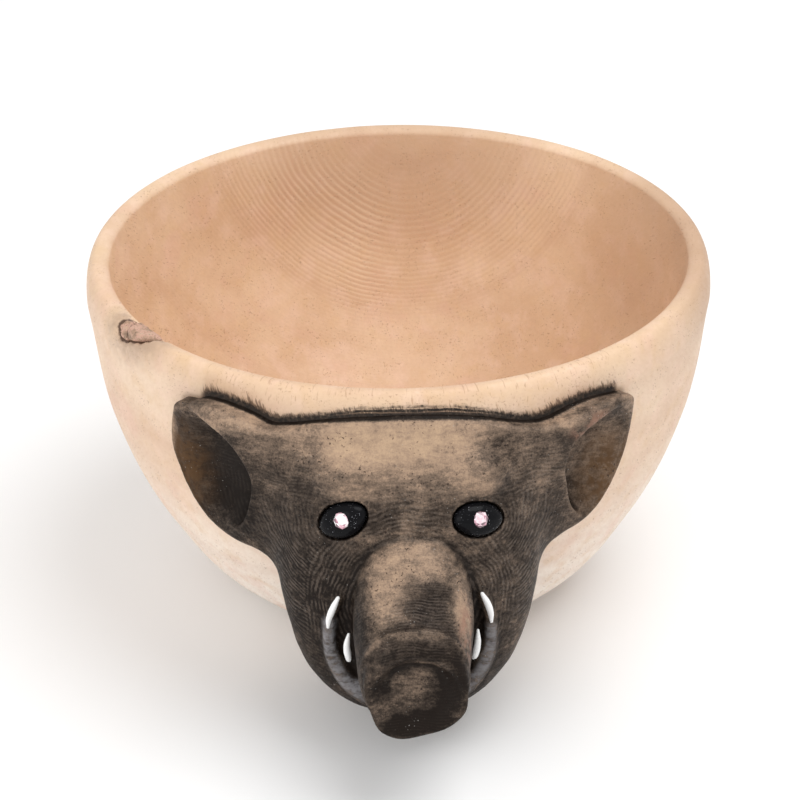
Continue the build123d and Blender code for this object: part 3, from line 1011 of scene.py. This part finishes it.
def bare_wood(s, at, radius, fibre_place):
    """The colour and relief of the wood before it is burned."""
    inside, up = s.value("inside"), s.vector("DOT_PRODUCT", at, (0, 0, 1))
    outside = s.math("SUBTRACT", 1.0, inside)
    late, early, wander = growth_rings(s, at, radius, inside, up)
    broad = s.noise(s.node("CombineXYZ", s.times(radius, 0.11), wander, 0.0).outputs[0], 1.0, 2)
    blotch, fibre = s.noise(at, 22, 4, 0.55), s.noise(fibre_place, 0.9, 4, 0.6)
    pores = s.times(
        s.spread(s.noise(fibre_place, 0.42, 1), 0.63, 0.72), s.spread(s.noise(at, 6, 3), 0.36, 0.58)
    )
    out_tone = s.mix(s.spread(blotch, 0.35, 0.65), (0.72, 0.515, 0.37, 1), (0.79, 0.60, 0.44, 1))
    in_tone = s.mix(s.spread(blotch, 0.35, 0.68), (0.67, 0.445, 0.28, 1), (0.77, 0.55, 0.37, 1))
    pinkish = s.noise(at, 7, 4, 0.6)
    yellowish = s.noise(s.vector("ADD", at, (50, 0, 0)), 5, 4, 0.6)
    colour = s.paint(
        s.mix(inside, out_tone, in_tone),
        (s.times(s.spread(up, 79, 85, 0.0, 0.6), outside), (0.71, 0.49, 0.30)),  # the rim, yellowed
        # painted light: the lower outer wall paled to stand in for light thrown up from the floor
        (s.times(s.spread(up, 58, 12, 0.0, 0.95), outside), (0.96, 0.87, 0.78)),  # paler low down
        (s.times(s.spread(broad, 0.45, 0.75), 0.34), (0.56, 0.33, 0.215)),  # darker years
        (s.times(s.spread(s.noise(at, 13, 3), 0.55, 0.72), 0.30), (0.72, 0.43, 0.33)),
        (s.times(s.spread(pinkish, 0.46, 0.68), 0.38), (0.84, 0.60, 0.47)),
        (s.times(s.spread(yellowish, 0.48, 0.70), 0.34), (0.70, 0.47, 0.26)),
        # partly painted shade, partly darker heartwood, on the back and right of the bowl
        (s.times(s.value("shade_and_heartwood"), s.spread(blotch, 0.2, 0.7, 0.45, 0.8)), (0.50, 0.32, 0.205)),
        (s.times(late, 0.42), (0.50, 0.28, 0.18)),
        (s.times(early, 0.34), (0.86, 0.66, 0.47)),
        (s.times(s.spread(fibre, 0.3, 0.7, 0.0, 1.0), 0.13), (0.50, 0.31, 0.20)),
        (s.times(pores, 0.36), (0.30, 0.15, 0.08)),
    )
    relief = s.plus(
        s.times(early, 0.28), s.times(fibre, 0.5), s.times(pores, -0.5), s.times(s.noise(at, 0.8, 3), 0.3)
    )
    return colour, fibre, relief


def head_edge_shade_and_burn(s, at, colour):
    """Lays the painted shade where the bowl meets the head, the burned band, its scratched lines and the
    strokes like hair over a colour.
    """
    edge, over, along = s.value("edge"), s.value("over_head"), s.value("along")
    slant = s.plus(s.times(along, 2.6), s.times(edge, 0.9), s.times(s.noise(at, 2.4, 2), 2.2))
    hairs = s.noise(s.node("CombineXYZ", slant, s.times(edge, 0.28), 0.0).outputs[0], 1.0, 2, 0.6)
    hairy = s.spread(s.math("ABSOLUTE", along), 22, 36, 0.0, 1.0)
    fall = s.spread(hairy, 0.0, 1.0, 0.19, 0.125)
    reach = s.plus(s.times(edge, fall), s.times(s.noise(at, 7, 1), 0.3))
    strokes = s.times(s.spread(s.plus(hairs, s.times(reach, -1.0)), 0.07, 0.20), over)
    tick_place = s.node("CombineXYZ", s.times(along, 1.7), s.times(edge, 0.5), 7.0).outputs[0]
    ticks = s.times(s.spread(s.noise(tick_place, 1.0, 2), 0.60, 0.70), over, s.spread(edge, 15, 10), 0.42)
    halo = s.times(
        s.spread(edge, 6.5, 0.5), over, s.spread(hairy, 0.0, 1.0, 0.35, 1.0),
        s.spread(s.noise(at, 9, 2), 0.3, 0.7, 0.25, 1.0),
    )
    ragged = s.times(s.noise(at, 1.3, 4, 0.65), 2.6)
    middle = s.spread(s.math("ABSOLUTE", s.plus(along, -2)), 21, 10)
    burn = s.times(s.spread(s.plus(edge, ragged, s.times(middle, -0.5)), 3.3, 1.9), over)
    phase = s.plus(s.times(edge, 2 * pi / SCRIBBLE_PITCH), s.times(s.noise(at, 6, 2), 7.0))
    scribble = s.spread(s.math("SINE", phase), 0.2, 0.9)
    scribble = s.times(scribble, s.spread(edge, 0.2, 0.7), middle, 0.62)
    charred = s.times(burn, s.spread(s.noise(at, 0.7, 3, 0.6), 0.3, 0.6, 0.8, 1.0))
    colour = s.paint(
        colour,
        # painted shade: the bowl darkened within about 1.2 mm of the head, all round where they meet
        (s.times(s.spread(edge, 1.2, 0.0), 0.45), (0.16, 0.09, 0.05)),
        (s.times(halo, 0.5), (0.36, 0.19, 0.10)),
        (ticks, (0.34, 0.18, 0.10)),
        (s.times(strokes, 0.74), (0.11, 0.06, 0.035)),
        (s.times(charred, s.math("SUBTRACT", 1.0, scribble)), (0.014, 0.009, 0.006)),
    )
    return colour, burn


def knot_surround(s, at, colour):
    """Lays the stained wood and the bark round the knot over a colour."""
    bark_here = s.plus(s.value("bark"), s.times(s.plus(s.noise(at, 1.0, 3), -0.5), 0.7))
    stain = s.times(
        s.spread(s.value("knot"), 9.0, 0.0), s.spread(s.noise(at, 4.5, 4, 0.6), 0.3, 0.6, 0.3, 1.0), 0.72,
        s.spread(s.value("inside"), 0.6, 0.0),
    )
    barked = s.times(s.spread(bark_here, 0.3, 0.7), 0.94)
    return s.paint(colour, (stain, (0.36, 0.24, 0.17)), (barked, (0.075, 0.030, 0.011)))


def pale_wood():
    s = Shader("pale_wood")
    at, radius, fibre_place = wood_coordinates(s, 14)
    colour, fibre, relief = bare_wood(s, at, radius, fibre_place)
    colour, burn = head_edge_shade_and_burn(s, at, colour)
    colour = knot_surround(s, at, colour)
    s.set(Base_Color=colour, Roughness=s.plus(s.spread(fibre, 0.2, 0.8, 0.46, 0.64), s.times(burn, 0.3)))
    s.bump(relief, 0.10)
    return s.material


TOOL_PITCH = 0.92  # between the fine tool lines


def comb_lines(s, name, wander):
    """Fine tool lines, from 0 to 1, across a value on the points."""
    phase = s.plus(s.value(name), wander)
    return s.plus(s.times(s.math("SINE", s.times(phase, 2 * pi / TOOL_PITCH)), 0.5), 0.5)


def tool_lines(s, at):
    """Fine tool lines: level ones, and rings round the eyes and the snout."""
    wander = s.times(s.plus(s.noise(at, 9, 3, 0.5), -0.5), 3.6)
    lines = comb_lines(s, "level_lines", wander)
    for name in ("ring_lines", "snout_lines"):
        here = s.value(name + "_here")
        others = s.times(lines, s.math("SUBTRACT", 1.0, here))
        lines = s.plus(others, s.times(comb_lines(s, name, wander), here))
    worked = s.times(s.spread(s.noise(at, 2.2, 4, 0.65), 0.36, 0.62), s.value("combed"))
    return s.times(s.spread(lines, 0.3, 0.8), worked)


def scorched_wood():
    s = Shader("scorched_wood")
    at, _, fibre_place = wood_coordinates(s, 9)
    patch, fine = s.noise(at, 5.5, 5, 0.62), s.noise(at, 0.9, 3, 0.6)
    grit, fibre = s.noise(at, 0.32, 2, 0.6), s.noise(fibre_place, 0.6, 3, 0.6)
    streak = s.noise(s.vector("MULTIPLY", at, (0.28, 0.6, 1.0)), 1.1, 4, 0.65)
    level = s.value("scorch_and_shade")
    for noise, share in ((patch, 0.8), (fine, 0.36), (fibre, 0.3), (streak, 0.62), (grit, 0.42)):
        level = s.plus(level, s.times(s.plus(noise, -0.5), share))
    colour = s.tints(level, [
        (0.0, (0.47, 0.325, 0.213)), (0.26, (0.345, 0.237, 0.163)), (0.5, (0.170, 0.120, 0.087)),
        (0.75, (0.050, 0.036, 0.027)), (1.0, (0.010, 0.006, 0.004)),
    ])
    lines = tool_lines(s, at)
    colour = s.mix(s.times(lines, 0.85), colour, (0.078, 0.061, 0.049, 1), "SCREEN")
    rubs = s.spread(s.noise(at, 2.6, 4, 0.6), 0.38, 0.62)
    pitted = s.spread(s.noise(at, 5, 2), 0.45, 0.6)
    pits = s.times(s.spread(s.noise(fibre_place, 0.55, 1), 0.64, 0.72), pitted)
    streaky = s.spread(s.plus(streak, s.times(fine, 0.4)), 0.5, 0.85, 0.12, 1.0)
    glint = s.times(s.spread(s.noise(at, 0.34, 0), 0.77, 0.83), s.spread(s.noise(at, 8, 1), 0.54, 0.64))
    colour = s.paint(
        colour,
        (s.times(s.value("worn"), s.spread(rubs, 0.0, 1.0, 0.5, 0.95)), (0.092, 0.046, 0.018)),
        (s.times(s.value("rubbed"), rubs, 0.9), (0.30, 0.165, 0.115)),
        (s.times(pits, 0.8), (0.02, 0.012, 0.01)),
        (s.times(s.value("smear"), streaky, 0.72), (0.30, 0.29, 0.30)),
        (s.times(glint, 0.4), (0.5, 0.48, 0.45)),
    )
    s.set(Base_Color=colour, Roughness=s.spread(s.plus(fine, s.times(lines, -0.3)), 0.1, 0.8, 0.42, 0.62))
    s.set(Specular_IOR_Level=0.12)
    relief = s.plus(s.times(lines, 0.55), s.times(fine, 0.35), s.times(fibre, 0.3), s.times(pits, -0.6))
    s.bump(relief, 0.13)
    return s.material


def knot_material():
    s = Shader("knot_wood")
    at = s.place()
    mottle, fine = s.noise(at, 2.6, 4, 0.6), s.noise(at, 0.5, 3)
    colour = s.tints(mottle, [
        (0.36, (0.24, 0.15, 0.095)), (0.47, (0.40, 0.25, 0.165)), (0.56, (0.55, 0.32, 0.235)),
        (0.68, (0.50, 0.34, 0.23)),
    ])
    colour = s.paint(
        colour,
        (s.spread(fine, 0.54, 0.70, 0.0, 0.6), (0.16, 0.085, 0.05)),
        (s.spread(s.value("crack"), 0.2, 0.9, 0.0, 0.95), (0.045, 0.02, 0.01)),
    )
    s.set(Base_Color=colour, Roughness=s.spread(fine, 0.3, 0.7, 0.42, 0.6))
    s.bump(s.plus(mottle, fine), 0.2)
    return s.material


def eye_black():
    s = Shader("eye_black")
    at = s.place()
    crowded = s.spread(s.noise(at, 2.6, 2), 0.42, 0.56)
    specks = s.times(s.spread(s.noise(at, 0.28, 1), 0.70, 0.76), crowded)
    colour = s.mix(specks, (0.006, 0.006, 0.007, 1), (0.55, 0.56, 0.6, 1))
    s.set(Base_Color=colour, Roughness=s.spread(s.noise(at, 0.9, 2), 0.3, 0.7, 0.10, 0.26))
    s.set(IOR=1.12, Coat_Weight=0.07, Coat_Roughness=0.04)
    s.bump(s.plus(s.noise(at, 0.8, 3), specks), 0.06)
    return s.material


def cut_stone_material():
    s = Shader("cut_stone")
    at = s.place()
    colour = s.tints(s.plus(s.value("sparkle"), s.times(s.plus(s.noise(at, 0.5, 1), -0.5), 0.5)), [
        (0.05, (0.16, 0.09, 0.11)), (0.25, (0.62, 0.30, 0.38)), (0.5, (0.86, 0.62, 0.68)),
        (0.72, (0.97, 0.93, 0.94)),
    ])
    s.set(Base_Color=colour, Metallic=0.35, Roughness=0.08, Coat_Weight=1.0, Coat_Roughness=0.02)
    # painted glow: the stones give off a little light in their own colour
    s.set(Emission_Color=colour, Emission_Strength=0.1)
    return s.material


def tusk_white():
    s = Shader("tusk_white")
    at = s.place()
    dirt = s.times(s.spread(s.noise(at, 1.1, 4, 0.65), 0.54, 0.74), 0.3)
    colour = s.mix(dirt, (0.96, 0.955, 0.945, 1), (0.6, 0.57, 0.53, 1))
    s.set(Base_Color=colour, Roughness=s.spread(s.noise(at, 0.7, 2), 0.3, 0.7, 0.32, 0.5))
    s.bump(s.noise(at, 0.45, 3), 0.05)
    return s.material


# ---------------------------------------------------------------- assembly


def fit(piece, node):
    """Puts a piece in the place of its CAD node."""
    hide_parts(node)
    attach(piece, "root")


def assemble():
    points, faces, values = bowl_surface()
    fit(make_piece("bowl_wood", points, faces, pale_wood(), values), "bowl")
    points, faces, values = knot_wood()
    fit(make_piece("knot_lump", points, faces, knot_material(), values), "rim_knot")
    points, quads, values = finished_head()
    fit(make_piece("head_wood", points, quads, scorched_wood(), values), "warthog_head")
    black, glass, white = eye_black(), cut_stone_material(), tusk_white()
    for side in EYES:
        fit(make_piece(f"eye_dome_{side}", *eye_dome(side), black), f"eye_{side}")
        gem, faces, sparkle = cut_stone(side)
        stone = make_piece(f"cut_stone_{side}", gem, faces, glass, face_values=sparkle)
        fit(stone, f"eye_stone_{side}")
        for place, tusks, radii in (
            ("upper", UPPER_TUSKS, UPPER_TUSK_RADII), ("lower", LOWER_TUSKS, LOWER_TUSK_RADII)
        ):
            tusk = make_piece(f"{place}_tusk_paint_{side}", *swept(tusks[side], radii, 28, 20), white)
            fit(tusk, f"{place}_tusk_{side}")


assemble()

# ---------------------------------------------------------------- stage, light and camera

VIEW_DISTANCE = 640.0  # from the middle of the rim
VIEW_ELEVATION, VIEW_BEARING = 25.92, -1.4
AIM_Z = 43.3  # height on the bowl's axis that the camera is turned to
VIEW_ROLL = 0.765
LENS, SENSOR = 120.3, 36.0
WORLD_LIGHT = 0.80
FLOOR_SIZE = 3.0  # metres from its middle to each side


def stage():
    mesh = bpy.data.meshes.new("floor")
    corners = [(FLOOR_SIZE * x, FLOOR_SIZE * y, 0) for x, y in ((-1, -1), (1, -1), (1, 1), (-1, 1))]
    mesh.from_pydata(corners, [], [(0, 1, 2, 3)])
    shader = Shader("floor_white")
    shader.set(Base_Color=(0.9, 0.9, 0.9, 1), Roughness=0.9)
    mesh.materials.append(shader.material)
    floor = bpy.data.objects.new("floor", mesh)
    bpy.context.scene.collection.objects.link(floor)


def area_light(name, place, aim, size, power):
    light = bpy.data.lights.new(name, "AREA")
    light.shape, light.size, light.energy = "DISK", size, power
    lamp = bpy.data.objects.new(name, light)
    lamp.location = place
    lamp.rotation_euler = (Vector(aim) - Vector(place)).to_track_quat("-Z", "Y").to_euler()
    bpy.context.scene.collection.objects.link(lamp)


def lighting():
    world = bpy.data.worlds.new("studio")
    world.use_nodes = True
    world.node_tree.nodes["Background"].inputs[0].default_value = (1, 1, 1, 1)
    world.node_tree.nodes["Background"].inputs[1].default_value = WORLD_LIGHT
    bpy.context.scene.world = world
    bpy.context.scene.view_settings.view_transform = "Standard"
    area_light("key", (0.36, -0.10, 1.05), (0, 0, 0.05), 0.8, 6.0)
    area_light("fill", (-0.75, -0.75, 0.5), (0, 0, 0.05), 0.9, 3.4)


def camera():
    rise, side = radians(VIEW_ELEVATION), radians(VIEW_BEARING)
    reach = VIEW_DISTANCE * cos(rise)
    place = Vector((reach * sin(side), -reach * cos(side), HEIGHT + VIEW_DISTANCE * sin(rise))) * MM
    aim = Vector((0, 0, AIM_Z * MM)) - place
    data = bpy.data.cameras.new("camera")
    data.lens, data.sensor_width = LENS, SENSOR
    shot = bpy.data.objects.new("camera", data)
    shot.location = place
    shot.rotation_mode = "QUATERNION"
    shot.rotation_quaternion = aim.to_track_quat("-Z", "Y") @ Quaternion((0, 0, 1), -radians(VIEW_ROLL))
    bpy.context.scene.collection.objects.link(shot)
    bpy.context.scene.camera = shot


stage()
lighting()
camera()
